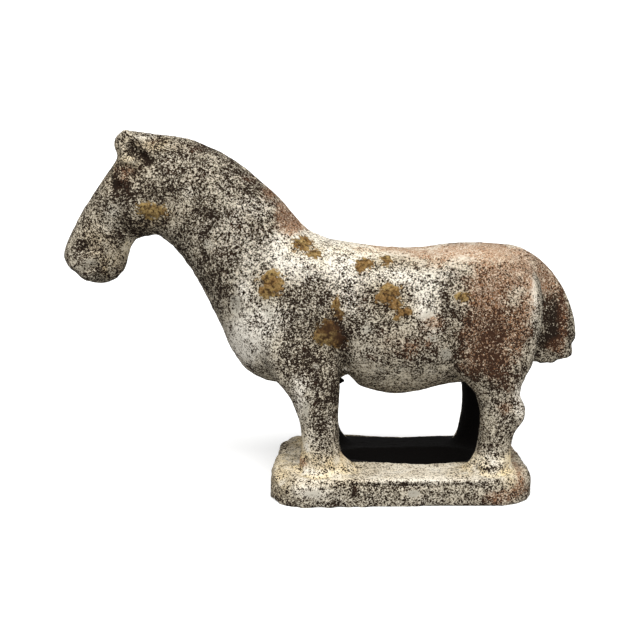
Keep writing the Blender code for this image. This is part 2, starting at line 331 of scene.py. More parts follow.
# %% Nostril, lips, chin and jaw
carve([
    ("nostril", [(-128.4, -12, 131.6), (-124.5, -13, 132.2), (-120.6, -12.6, 131.4)], 3.0, 1.5),
    ("upper lip", [(-130.6, -11, 127.2), (-125.5, -12.6, 126.8), (-119.8, -12.6, 128.0)], 1.8, -0.9),
    ("tip of the nose", [(-133, -9, 131), (-130, -11, 126.5)], 1.2, 0.7),
    ("mouth", [(-129.5, -9.5, 119.2), (-126, -12, 120.0), (-121.5, -12.5, 122.5)], 1.0, 1.1),
    ("corner of the lips", [(-120.2, -12, 127.0), (-120.0, -11.5, 121.0), (-120.4, -9, 114)], 1.4, 1.2),
    ("edge of the jaw", [(-106.2, -12, 127), (-105.2, -12, 132.5), (-106.6, -12, 138)], 2.0, -1.0),
    ("throat", [(-100.4, -10, 129), (-99.6, -12, 134.5), (-97.2, -14, 140)], 2.2, 1.2),
    ("cheek", [(-104.5, -13, 141.5), (-101, -14.5, 143), (-97, -15.5, 146.5), (-86, -16.8, 147.5),
               (-78, -18, 154)], 3.6, 0.6),
])

# %% [markdown]
# ## Carve the body
# On the body only a few lines are sharp: the end of the clipped mane, the back
# of the elbow, the soft hollow of the flank and the hock. A finger left a
# shallow dent low on the neck, which is a spot pressed straight in.

# %% Mane, elbow, flank, hock and dent
carve([
    ("mane line", [(-40, -9.5, 165.5), (-30, -10, 157.5), (-22, -11.5, 150.5), (-13, -13, 143.5)], 1.2, 0.6),
    ("back of the elbow", [(12.8, -22, 60), (12.4, -27, 68), (11.0, -36, 80), (9.0, -38, 94),
                           (7.0, -37, 106)], 4.6, 0.9),
    ("crease under the elbow", [(13.2, -22, 71), (12.8, -21.8, 63)], 1.3, 0.9),
])
carve([("crumb of clay in the crease", [(14.0, -21.5, 64.4), (12.6, -20.5, 62.6)], 1.5, -1.3)], NEAR)
carve([
    ("flank", [(70, -36, 72), (66, -38, 88), (65, -36.5, 104), (69, -32, 116)], 7.0, 0.8),
    ("point of the hock", [(104.5, -37, 52.5), (106.8, -36, 48.5), (105, -36, 44.0)], 3.0, -0.8),
    ("hollow of the hock", [(96, -40, 52.5), (99.5, -39.5, 50.5)], 1.6, 0.6),
])
DENT_DEPTH = 1.0
dent = step(spot((-45.9, -22, 102.6), (4.4, 12, 7.4)), 0.0, 0.8)
out = directions()
points = points - (DENT_DEPTH * dent)[:, None] * out
print("dent covers", int((dent > 0).sum()), "points")

# %% [markdown]
# ## Cut the plinth
# The plinth's near side has a groove where the slab was trimmed against a
# board. The groove wanders up and down, because it was cut by hand. Its lip
# stands a little proud, a crack runs down beside the foreleg, and a crease goes
# round each hoof, where the leg was pressed into the slab.

# %% Ledge, crack and creases at the hooves
LEDGE = [
    (15.6, -49.0, 11.9), (23, -48.5, 11.0), (31, -48.1, 11.6), (41, -47.6, 10.7), (52, -47.4, 11.3),
    (61, -47.4, 10.6), (71, -47.3, 11.3), (79, -47.3, 11.0), (85, -47.3, 12.0),
]
carve([
    ("crack", [(16.6, -49.6, 0.5), (16.3, -49.4, 6), (16.9, -48.8, 12.5)], 0.9, 0.8),
    ("ledge, front half", LEDGE[:5], 1.0, 1.2),
    ("ledge, back half", LEDGE[4:], 0.9, 0.9),
    ("lip", [(15.7, -47.6, 13.6), (40.9, -46.2, 13.3), (67, -46.0, 13.3), (84, -46.0, 13.3)], 1.3, -0.7),
], NEAR)
carve([
    ("crease at the hind hoof", [(80.2, -34.4, 16.9), (82.2, -38.7, 16.0), (85.4, -42, 15.3),
                                 (90.5, -42.9, 15.1), (95, -40.7, 16), (98.3, -37.1, 17.7)], 1.9, 1.5),
    ("crease at the fore hoof", [(-12.6, -34.2, 15.8), (-9.9, -41.1, 15.1), (-5.1, -45.2, 15.2),
                                 (1.1, -44.9, 15.2), (5.9, -41.6, 15.8), (8.5, -38.3, 18.1)], 1.7, 1.3),
])

# %% Chips along the plinth and a nick in the tail
CHIPS = [
    ((-23.6, 11, 14.6), 2.2, 1.3), ((-13.9, -49.4, 13.0), 2.0, 0.7), ((-2, -50.8, 1.0), 2.6, 0.9),
    ((8, -50.6, 0.8), 2.2, 1.0), ((52, -49.6, 0.6), 2.0, 0.7), ((106, -30, 14.4), 2.4, 0.8),
    ((-22, 34, 14.2), 2.6, 1.1),
]
CHIP_LENGTH = 1.5
for chip, width, depth in CHIPS:
    tool([chip, (chip[0] + CHIP_LENGTH, chip[1], chip[2])], width, depth, NEAR)
carve([("roll of clay on the tail", [(126.0, -6, 79.0), (129.4, -3, 79.4)], 1.7, -0.9)], NEAR)
print("chips", len(CHIPS))

# %% [markdown]
# ## Leave the potter's accidents
# The real figure isn't neat. Its plinth is lumpy in front, clay is smeared up
# behind the hooves, the tail's lower edge is torn and its corner rounded, a nub
# of clay is stuck to the far foreleg, the belly is notched behind the forelegs,
# and the far rail sags. Each is a smooth push that is limited to its own place,
# so that a plain formula does what would be fussy to sculpt.

# %% Lumpy front end and clay smeared at the hooves
out = directions()
lumpy = step(-points[:, 0], 0, 14) * step(-points[:, 2], -30, -20) * grain(7.5, 21, detail=1)
points = points + (1.3 * lumpy - 0.45 * np.abs(lumpy))[:, None] * out
FORE_HEEL = 17
HIND_HEEL = 80
HEEL_RISE = 1.9
heel = hill(points[:, 0], FORE_HEEL, 9) + 0.8 * hill(points[:, 0], HIND_HEEL, 9)
heel = HEEL_RISE * heel * step(points[:, 2], 14, 16.5) * step(-points[:, 2], -26, -19)
points[:, 2] += heel * hill(points[:, 1], -26, 9)
print("clay smeared up by", round(float(heel.max()), 1), "mm")

# %% Torn lower edge and rounded corner of the tail
RAGGED = 1.7
TAIL_CORNER = (139, 76)
ragged = step(-points[:, 2], -85, -79) * step(points[:, 0], 107, 111)
points[:, 2] += RAGGED * ragged * grain(5.5, 31)
corner = hill(points[:, 0], TAIL_CORNER[0], 4.5) * hill(points[:, 2], TAIL_CORNER[1], 4.5)
points[:, 0] -= 2.6 * corner
points[:, 2] += 1.6 * corner
print("tail's edge torn on", int((ragged > 0).sum()), "points")

# %% Nub on the far foreleg, notch in the belly, sag of the far rail
NUB_LENGTH = 8.6
NOTCH_DEPTH = 4.0
SAG = 1.3
nub = hill(points[:, 2], 52.4, 2.3) * hill(points[:, 1], 21, 4.5)
nub *= step(points[:, 0], 6.5, 8.5) * step(-points[:, 0], -20, -16)
points[:, 0] += NUB_LENGTH * nub
notch = hill(points[:, 0], 14.5, 3.8) * step(-directions()[:, 2], 0.2, 0.7)
notch *= step(-points[:, 2], -74, -68) * step(points[:, 2], 50, 54)
points[:, 2] += NOTCH_DEPTH * notch * step(-np.abs(points[:, 1]), -26, -18)
sag = hill(points[:, 0], 45, 26) * step(points[:, 1], 12, 20) * step(points[:, 2], 10, 14.5)
points[:, 2] -= SAG * sag
print("nub, notch and sag pressed")

# %% [markdown]
# ## Find where the soil cakes
# Wet earth dried in ochre crusts on the shoulder, the withers, the ribs and the
# cheek. Each crust is a few overlapping spots, so that its outline is lobed and
# never a plain oval. A spot is its centre and its reach, in millimetres. The
# near side's crusts lie where the photograph shows them. The far side was never
# seen, so its crusts are a guess of the same kind.

# %% Spots of soil
SOIL_NEAR = [
    (-9.5, -19, 134.5, 6.0, 9, 5.0), (-4.0, -23, 129.5, 3.8, 8, 2.6), (-13.5, -17, 132, 3.0, 8, 4.5),
    (-26.5, -30.5, 116.5, 6.4, 9, 5.0), (-28.5, -31, 110.5, 4.4, 9, 4.0), (-24.0, -30, 113.0, 4.6, 9, 4.5),
    (22.5, -26, 124.8, 4.6, 8, 3.6), (19.8, -27, 122.2, 3.2, 8, 2.4),
    (34.2, -22, 126.4, 3.8, 8, 3.0),
    (35.5, -34.5, 110.0, 5.4, 9, 5.4), (32.0, -35, 108.0, 4.4, 9, 3.6), (38.0, -36, 104.8, 3.6, 9, 3.2),
    (41.5, -37, 101.0, 4.4, 9, 2.3), (38.6, -37.5, 97.6, 2.4, 9, 1.6),
    (7.4, -37, 104.2, 2.2, 9, 4.0), (9.6, -37, 99.8, 2.4, 9, 3.4),
    (3.2, -37, 90.5, 6.2, 9, 6.0), (7.0, -37, 87.0, 5.4, 9, 5.6), (0.2, -37, 88.0, 4.4, 9, 4.4),
    (-89.5, -15.6, 151.6, 7.6, 8, 4.0), (-93.5, -15.6, 153.8, 5.0, 8, 3.4),
    (73.0, -37.2, 108.6, 4.4, 9, 2.2),
]
SOIL_FAR = [
    (-18.0, 25.0, 124.0, 6.5, 9, 4.5), (-14.0, 27.0, 119.0, 4.0, 9, 4.0),
    (41.0, 31.0, 117.0, 5.4, 9, 4.2), (47.0, 33.0, 112.5, 3.8, 9, 2.8),
    (19.0, 37.0, 95.0, 6.2, 9, 5.0), (24.0, 37.0, 90.0, 4.2, 9, 4.6),
    (-62.0, 18.0, 146.0, 6.0, 8, 4.0), (84.0, 38.0, 98.0, 5.0, 9, 3.4),
    (-100.0, 15.0, 146.0, 4.4, 8, 3.0), (104.0, 34.0, 118.0, 3.8, 8, 2.4),
]
soil = np.full(len(points), -1.0)
for x, y, z, rx, ry, rz in SOIL_NEAR + SOIL_FAR:
    soil = np.maximum(soil, spot((x, y, z), (rx, ry, rz)))
crumb = grain(1.9, 3, detail=1)
crust = step(soil + 0.22 * grain(3.6, 5), 0.02, 0.34)
print("soil on", int((soil > 0).sum()), "points")

# %% [markdown]
# ## Age the surface
# The slip went on unevenly and salts ate pits in it. Slow waves of a few tenths
# of a millimetre make the light waver, stronger under the belly, and small
# pocks and grits roughen the rest. The crusts stand proud with a crumbly top.
# All of it goes into the mesh, because a low light and an outline show it, and
# a bump in the material wouldn't.

# %% Raise the crusts and let the slip waver
BELLY_WAVER = 0.45
POCK_DEPTH = 0.30
GRIT_HEIGHT = 0.16
CRUST_HEIGHT = 0.55
CRUMB_HEIGHT = 0.45

waver = 0.16 * grain(9.0, 1) + 0.07 * grain(3.4, 2)
out = directions()
waver += BELLY_WAVER * step(out[:, 2] * -1, 0.1, 0.7) * step(points[:, 2], 58, 62) * grain(4.2, 13)
grit = grain(2.7, 11)
pocks = -POCK_DEPTH * step(grit, 0.30, 0.55) + GRIT_HEIGHT * step(-grit, 0.34, 0.60)
raised_by = crust * (CRUST_HEIGHT + CRUMB_HEIGHT * crumb) + waver + pocks * (1 - crust)
points = points + raised_by[:, None] * out
points[:, 2] = np.maximum(points[:, 2], 0.0)
print("surface raised by up to", round(float(raised_by.max()), 2), "mm")

# %% [markdown]
# ## Measure the hollows
# Dirt and ochre wash stay in hollows. A hollow is a point that lies behind its
# surroundings, so the skin is blurred a few times and each point is measured
# against it, along its own outward direction.

# %% Measure hollows and ridges
SURROUNDINGS = 10
out = directions()
blurred = points.copy()
for turn in range(SURROUNDINGS):
    blurred = spread(blurred)
hollow = ((blurred - points) * out).sum(1)
for turn in range(2):
    hollow = spread(hollow)
print("hollows from", round(float(hollow.min()), 2), "to", round(float(hollow.max()), 2), "mm")

# %% [markdown]
# ## Where each finish shows
# The paint reads a few soft fields that are kept on the points: how thick the
# grime lies, together with painted shade, how pale the slip is, together with
# painted highlight, how bare the clay, where soil stains, where a film of lime
# lies, and where painted black shade fills the gap between the legs. A restorer
# would map the real ones of these on a drawing of the figure, and this lesson
# maps the painted light and shade in the same way. A mark is (x, z, reach along
# x, reach along z, strength), in millimetres on the near side, and every map is
# ordered by the parts of the horse. Marks of a few millimetres are enough,
# because the fine grain on top is made in the material.
#
# Grime makes more and larger pits, and so does the painted shade that this map
# also holds: in the ear's hollow, round the eye, behind the elbow and on the
# tail's side. A negative mark is a clean place, and on the chest, the belly and
# the plinth's top it is painted light as well.

# %% Map the grime and painted shade
GRIME_AND_SHADE = {
    "ear and forelock": [
        (-84.2, 186.3, 7.3, 4.1, 0.18), (-100.3, 185.7, 2.6, 3.1, 0.95), (-95.6, 181.7, 3.6, 2.5, 1.15),
        (-91, 177.6, 3.6, 2, 0.95), (-104.5, 188.8, 2.1, 2.5, 0.3), (-104, 182.7, 2.6, 2, 0.3),
        (-88.4, 189.8, 4.7, 2, 0.55), (-101.9, 179.1, 4.2, 2, -0.3), (-86.3, 184.7, 8.3, 1.5, -0.1),
        (-96.7, 190.8, 6.2, 1.5, -0.3),
    ],
    "eye": [
        (-105, 174.6, 7.3, 6.1, 0.22), (-106, 173, 4.2, 2.5, 0.6), (-108.6, 168, 2.1, 4.6, 0.95),
        (-104.5, 165.9, 3.6, 2.5, 0.75), (-96.2, 171.5, 3.1, 2.5, 0.45), (-102.9, 160.3, 7.3, 4.1, 0.42),
        (-89.4, 162.4, 13.5, 5.1, 0.3), (-81.6, 163.4, 5.7, 2.5, 0.5),
    ],
    "cheek": [
        (-81.6, 142.1, 6.2, 4.1, -0.1), (-102.4, 146.1, 7.3, 4.6, 0.4), (-96.7, 137.5, 4.2, 4.6, 0.65),
        (-88.4, 144.6, 7.8, 3.1, 0.12), (-111.2, 141, 4.2, 3.6, 0.25), (-79, 137, 7.3, 4.1, 0.2),
    ],
    "muzzle": [
        (-123.7, 124.8, 5.2, 3.1, 0.2), (-126.8, 133.9, 3.6, 3.1, 0.3), (-120.6, 130.9, 5.2, 2.5, 0.35),
        (-115.9, 129.4, 2.6, 3.6, 0.4), (-116.4, 121.7, 2.1, 5.1, 0.35), (-104, 130.9, 3.1, 4.6, -0.45),
        (-120.6, 133.9, 9.4, 7.1, -0.12), (-110.2, 125.8, 7.3, 7.1, -0.15),
    ],
    "neck": [
        (-38.4, 171.5, 10.4, 6.1, 0.12), (-70.2, 186.3, 11.4, 3.1, 0.3), (-66, 165.9, 6.8, 3.1, 0.35),
        (-46.8, 174.6, 6.8, 4.1, 0.3), (-41, 164.4, 7.3, 4.6, 0.4), (-61.8, 151.2, 8.8, 3.6, 0.45),
        (-71.7, 141.6, 4.7, 4.6, 0.4), (-63.4, 159.3, 13.5, 7.1, 0.12), (-52, 139, 11.4, 9.2, 0.1),
        (-60.8, 141, 2.1, 3.6, 0.55), (-70.7, 131.9, 8.3, 4.6, 0.25), (-61.3, 125.8, 4.2, 3.6, 0.55),
        (-52, 122.2, 2.6, 3.1, 0.5), (-57.2, 114.6, 5.7, 6.1, 0.5), (-42.1, 131.9, 4.2, 2.5, 0.35),
        (-46.8, 141, 10.4, 10.2, -0.05),
    ],
    "withers": [
        (-17.6, 148.2, 5.7, 7.1, -0.5),
    ],
    "chest and shoulder": [
        (-27, 95.3, 10.4, 9.2, 0.16), (14.6, 110.6, 9.4, 7.1, 0.14), (-46.2, 91.3, 5.2, 8.2, -0.15),
        (-50.9, 106.5, 7.3, 6.1, 0.25), (-46.2, 104, 2.1, 4.1, 0.6), (-50.9, 86.2, 8.3, 10.2, -0.22),
        (-37.4, 73.5, 11.4, 7.1, -0.25), (-43.6, 97.4, 6.2, 8.2, -0.15), (-1, 95.3, 5.7, 4.6, 0.35),
        (4.7, 88.7, 9.9, 9.2, 0.45), (9.4, 97.4, 3.1, 10.2, 0.3), (-5.2, 74, 8.8, 5.6, 0.6),
        (11.5, 81.1, 3.1, 13.3, 0.55), (-13.5, 91.3, 7.8, 9.2, 0.22), (-11.4, 106.5, 9.4, 5.1, 0.12),
        (-11.4, 106.5, 11.4, 11.2, -0.02),
    ],
    "back and ribs": [
        (56.2, 106.5, 9.4, 8.2, 0.14), (64.5, 95.3, 4.2, 12.2, 0.15), (17.2, 96.3, 5.2, 7.1, 0.2),
        (31.8, 105, 8.3, 4.1, 0.1), (40.6, 129.9, 22.9, 4.1, -0.35),
    ],
    "belly": [
        (19.8, 80.1, 13.5, 8.2, -0.22), (22.9, 69.9, 8.3, 4.1, -0.15), (43.2, 62.8, 23.9, 4.6, -0.42),
        (30.2, 69.9, 20.8, 5.1, -0.15), (61.4, 68.9, 11.4, 4.1, -0.1),
    ],
    "rump": [
        (110.8, 111.6, 4.2, 7.1, -0.3), (79.6, 129.9, 31.2, 5.6, -0.45), (92.6, 106.5, 15.6, 9.2, -0.2),
    ],
    "thigh": [
        (97.8, 69.9, 8.3, 8.2, 0.2), (69.7, 80.1, 4.7, 11.2, 0.25), (78, 94.3, 9.4, 15.3, 0.35),
        (89.5, 87.2, 7.3, 10.2, 0.6), (85.3, 73, 11.4, 8.2, 0.55), (93.1, 63.8, 7.3, 6.1, 0.2),
    ],
    "tail": [
        (123.8, 93.8, 7.3, 13.3, 0.22), (114.4, 93.3, 2.1, 10.2, 0.25), (121.7, 95.3, 7.3, 12.2, 0.22),
        (119.6, 82.1, 8.3, 5.1, 0.35), (127.4, 91.3, 4.2, 14.3, 0.65), (126.9, 83.6, 4.2, 5.1, 0.3),
        (121.7, 114.6, 7.3, 7.1, -0.45),
    ],
    "forelegs": [
        (1.6, 57.7, 6.8, 10.2, 0.45), (-1, 37.4, 3.6, 8.2, 0.5), (8.4, 53.2, 2.6, 15.3, 0.35),
        (-15.6, 38.4, 7.3, 3.1, 0.35),
    ],
    "hind legs": [
        (96.8, 49.6, 4.2, 5.1, 0.35), (92.6, 35.4, 9.4, 13.3, -0.02),
    ],
    "hooves and plinth top": [
        (90, 22.2, 7.3, 4.1, 0.15), (4.7, 24.2, 4.2, 3.1, 0.3), (-2, 20.1, 6.2, 2.5, 0.2),
        (105.6, 20.1, 3.1, 7.1, 0.2), (-8.3, 22.2, 3.1, 2.5, 0.3), (48.4, 21.7, 32.2, 3.6, -1),
        (12, 22.2, 10.4, 2.5, -0.4), (88.4, 17.9, 9.4, 1, 0.55), (86.4, 20.1, 7.3, 4.1, 0.25),
        (-20.8, 29.3, 8.3, 10.2, -0.75), (-11.4, 20.1, 13.5, 5.1, -0.25),
    ],
    "plinth": [
        (92.6, 4.4, 13.5, 3.6, 0.3), (61.4, 5.9, 31.2, 3.6, -0.1), (4.2, 5.9, 26, 4.1, -0.05),
        (22.4, 11.8, 6.2, 0.7, 0.35), (38, 12, 9.4, 0.7, 0.3), (56.2, 12, 10.4, 0.7, 0.35),
        (71.8, 12, 7.3, 0.7, 0.2), (12, 15.1, 15.6, 1.5, -0.3), (51, 14.6, 26, 1.5, -0.5),
        (100.4, 15.1, 8.3, 7.1, -0.3), (16.2, 9.5, 1.2, 7.1, 0.75), (4.2, 1.9, 8.3, 2, 0.4),
        (-3.1, 16.6, 9.4, 1, 0.45), (-21.8, 14, 5.2, 5.1, -0.2),
    ],
}
print("grime:", sum(len(marks) for marks in GRIME_AND_SHADE.values()), "marks")

# %% [markdown]
# ## Thick and thin slip, and painted highlight
# The slip is thickest on the shoulder, the back and the loin, where it ran when
# the figure was dipped, and thin on the neck and rump. The same map also paints
# highlights where light falls: on the ear and its root, on the muzzle and on the
# plinth's top. A negative mark is thin.

# %% Map the pale slip and painted highlight
PALE_AND_HIGHLIGHT = {
    "ear and forelock": [
        (-102.9, 187.8, 2.1, 4.6, 0.5), (-101.9, 179.1, 4.7, 2, 0.42), (-94.6, 190.8, 7.3, 1.5, 0.45),
        (-84.2, 185.2, 9.4, 1.5, 0.12), (-86.3, 184.7, 8.3, 1, 0.1),
    ],
    "cheek": [
        (-111.2, 151.2, 4.2, 3.6, 0.3), (-115.4, 143.1, 7.3, 4.1, 0.3),
    ],
    "muzzle": [
        (-104.5, 131.9, 3.1, 6.1, 0.55), (-123.7, 125.8, 5.2, 3.1, 0.05), (-104, 130.9, 3.1, 5.1, 0.5),
    ],
    "neck": [
        (-31.2, 162.4, 5.2, 4.6, -0.3), (-69.6, 162.4, 3.1, 4.6, 0.3), (-46.8, 141, 10.4, 11.2, 0.2),
        (-33.2, 154.3, 10.4, 7.1, 0.3), (-37.4, 125.8, 7.3, 10.2, 0.25),
    ],
    "withers": [
        (-18.7, 148.2, 5.7, 7.7, -0.5), (-21.3, 129.9, 6.2, 10.2, 0.75), (-11.4, 122.8, 10.4, 8.2, 0.45),
        (4.2, 130.9, 14.6, 6.1, 0.75), (14.6, 122.8, 11.4, 7.1, 0.8), (-8.8, 139.5, 10.4, 4.1, 0.6),
        (1.6, 137, 15.6, 3.1, 0.6),
    ],
    "chest and shoulder": [
        (-40.5, 110.6, 5.2, 6.1, 0.6), (-37.4, 88.7, 8.3, 11.2, 0.5), (-28, 97.4, 10.4, 9.2, 0.5),
        (12, 106.5, 8.3, 8.2, 0.45), (12.5, 67.9, 2.1, 1.5, 0.8), (-11.4, 63.3, 6.2, 5.1, 0.3),
        (-42.6, 81.1, 8.3, 11.2, 0.85),
    ],
    "back and ribs": [
        (38, 118.7, 10.4, 3.6, 0.7), (53.1, 111.6, 8.8, 7.1, 0.45), (53.1, 101.4, 6.2, 5.1, 0.7),
        (61.4, 120.7, 12.5, 4.1, 0.3), (27.6, 131.9, 20.8, 3.6, 0.5), (57.8, 91.3, 4.7, 2.5, 0.35),
    ],
    "rump": [
        (92.6, 101.4, 12.5, 12.2, -0.2), (110.3, 110.6, 2.6, 13.3, 0.4), (77, 129.9, 31.2, 5.1, 0.5),
        (100.4, 121.7, 10.4, 8.2, 0.15),
    ],
    "thigh": [
        (108.2, 96.3, 4.2, 10.2, 0.15),
    ],
    "tail": [
        (119.6, 119.2, 6.2, 7.1, -0.15), (132, 96, 3.6, 16, -0.6), (127, 80, 5, 4, -0.4),
    ],
    "forelegs": [
        (-11.9, 53.2, 3.1, 11.2, 0.5), (4.2, 43, 2.6, 6.1, 0.2),
    ],
    "hind legs": [
        (103, 56.7, 3.1, 10.2, 0.5), (104.6, 49.6, 2.1, 4.1, 0.4),
    ],
    "hooves and plinth top": [
        (-7.2, 29.3, 4.7, 8.2, 0.45), (87.4, 29.3, 5.2, 6.1, 0.05), (51, 21.2, 33.3, 4.1, 1.2),
        (92.6, 22.2, 11.4, 6.1, 0.4), (-19.7, 22.2, 5.2, 4.1, 0.1), (-18.2, 18.6, 5.2, 1.5, 0.6),
    ],
    "plinth": [
        (92.6, 15.6, 13.5, 1.3, 0.2), (-1, 16.1, 20.8, 2, 0.6), (-22.8, 11, 4.2, 5.1, 0.2),
        (-8.8, 10, 10.4, 4.1, 0.5), (51, 14, 36.4, 1.5, 0.4),
    ],
}
print("pale slip:", sum(len(marks) for marks in PALE_AND_HIGHLIGHT.values()), "marks")

# %% [markdown]
# ## Bare clay
# Hands and soil rubbed the slip off where the figure stands out most: on the
# withers, the croup, the rump, the thigh, the tail's edge and the brow.

# %% Map the bare clay
BARE = {
    "ear and forelock": [
        (-89.4, 189.3, 4.2, 2, 0.4),
    ],
    "eye": [
        (-104, 173.6, 6.2, 2.5, 0.7), (-104.5, 168, 4.2, 3.6, 0.6),
    ],
    "cheek": [
        (-100.8, 137, 4.2, 4.1, 0.3),
    ],
    "neck": [
        (-38.4, 169.5, 6.2, 3.1, 0.5), (-71.2, 186.3, 12.5, 3.6, 0.3),
    ],
    "withers": [
        (-15.6, 144.1, 6.8, 4.6, 1.5), (-19.7, 152.2, 4.7, 6.6, 1.2), (-28, 161.4, 4.7, 4.1, 0.8),
    ],
    "back and ribs": [
        (30.2, 131.9, 15.6, 3.1, 0.45), (51, 129.9, 15.6, 3.1, 0.6), (58.3, 124.8, 13.5, 3.6, 0.5),
        (57.8, 95.3, 7.3, 5.1, 0.6), (36.4, 88.7, 7.3, 7.1, 0.3), (61.4, 106.5, 3.1, 4.1, 0.2),
    ],
    "belly": [
        (46.8, 83.6, 11.4, 7.1, 0.5),
    ],
    "rump": [
        (71.8, 131.9, 15.6, 4.6, 0.7), (92.6, 130.9, 11.4, 5.1, 0.9), (92.6, 119.2, 14.6, 8.2, 0.9),
        (107.2, 108.5, 5.2, 13.3, 0.55), (108.2, 125.8, 7.3, 7.1, 0.6), (85.3, 108.5, 12.5, 12.2, 1),
    ],
    "thigh": [
        (91.6, 88.7, 10.4, 14.3, 0.95), (79.1, 87.2, 8.3, 11.2, 0.7), (84.3, 75, 12.5, 8.2, 0.75),
        (95.2, 62.8, 6.2, 6.1, 0.45), (103, 91.3, 5.2, 15.3, 0.45),
    ],
    "tail": [
        (120.2, 115.6, 6.2, 7.1, 1), (123.8, 106.5, 6.2, 8.2, 0.5), (131.1, 95.3, 3.1, 16.3, 1.2),
        (126.9, 79.1, 4.2, 3.6, 1.6), (119.6, 124.3, 6.2, 6.1, 0.6),
    ],
    "hind legs": [
        (95.7, 50.6, 4.2, 3.6, 0.75),
    ],
    "hooves and plinth top": [
        (-11.9, 19.6, 6.2, 2.5, 0.85), (12, 24.2, 2.6, 4.1, 0.4),
    ],
    "plinth": [
        (95.2, 4.9, 13.5, 4.1, 0.8), (104.6, 12.5, 4.2, 7.1, 0.75),
    ],
}
print("bare clay:", sum(len(marks) for marks in BARE.values()), "marks")

# %% [markdown]
# ## Ochre wash
# Wet soil left a yellow wash round its crusts, in the face and all over the
# plinth, where water stood.

# %% Map the ochre wash
OCHRE = {
    "ear and forelock": [
        (-85.8, 185.2, 9.4, 2, 0.7), (-85.2, 188.8, 4.2, 2, 0.6), (-101.9, 179.1, 4.7, 2, 0.45),
        (-102.4, 188.8, 2.6, 4.1, 0.45), (-89.4, 187.8, 10.4, 2.5, 0.35), (-99.3, 177.6, 4.2, 2.5, 0.35),
    ],
    "eye": [
        (-106, 176.6, 12.5, 11.2, 0.5),
    ],
    "cheek": [
        (-88.4, 150.2, 11.4, 5.1, 0.45), (-94.6, 144.6, 10.4, 4.1, 0.35), (-120.6, 137, 9.4, 11.2, 0.42),
    ],
    "muzzle": [
        (-104, 131.9, 3.1, 6.1, 0.55), (-97.7, 133.9, 2.6, 5.1, 0.7), (-116.4, 120.7, 2.1, 4.6, 0.8),
        (-110.2, 125.8, 9.4, 6.1, 0.42), (-104, 130.9, 3.6, 5.6, 0.4),
    ],
    "withers": [
        (-9.8, 133.9, 9.4, 6.1, 0.4), (0, 124.8, 5.2, 3.1, 0.35), (14.6, 131.9, 26, 3.1, 0.35),
    ],
    "chest and shoulder": [
        (-27, 114.1, 8.8, 8.2, 0.4), (7.3, 102.4, 4.2, 6.1, 0.45), (4.2, 88.2, 10.4, 9.2, 0.4),
    ],
    "back and ribs": [
        (53.6, 125.8, 20.8, 4.1, 0.4), (22.4, 124.8, 7.3, 5.1, 0.4), (33.8, 126.8, 5.2, 4.1, 0.4),
        (34.4, 109, 9.4, 7.7, 0.45), (41.6, 100.4, 7.3, 4.1, 0.4),
    ],
    "rump": [
        (73.9, 108, 5.7, 3.6, 0.45), (92.6, 125.8, 13.5, 5.1, 0.4),
    ],
    "thigh": [
        (97.8, 90.2, 6.2, 2, 0.6),
    ],
    "tail": [
        (121.7, 114.6, 6.2, 6.1, 0.35),
    ],
    "hooves and plinth top": [
        (40.6, 22.2, 34.3, 4.1, 1), (40.6, 17.1, 34.3, 2.5, 0.6), (71.8, 23.2, 15.6, 4.1, 0.45),
        (4.2, 20.1, 10.4, 4.6, 0.6), (-14.5, 24.2, 9.4, 7.1, 0.9), (77, 17.1, 12.5, 2.5, 0.8),
        (100.9, 24.2, 6.2, 6.1, 0.75), (-21.8, 30.3, 10.4, 11.2, 1.4), (40.6, 22.2, 31.2, 3.1, 0.35),
        (14.6, 19.1, 5.2, 4.1, 0.55),
    ],
    "plinth": [
        (-22.8, 10, 7.3, 7.1, 0.7), (100.4, 13, 7.3, 7.1, 0.7), (1.6, 13, 26, 3.1, 0.25),
    ],
}
print("ochre wash:", sum(len(marks) for marks in OCHRE.values()), "marks")

# %% [markdown]
# ## Films of lime
# Here and there a smooth grey film of lime closes the pits, as on the muzzle, in
# the dent on the neck, down the forelegs and on the plinth's side.

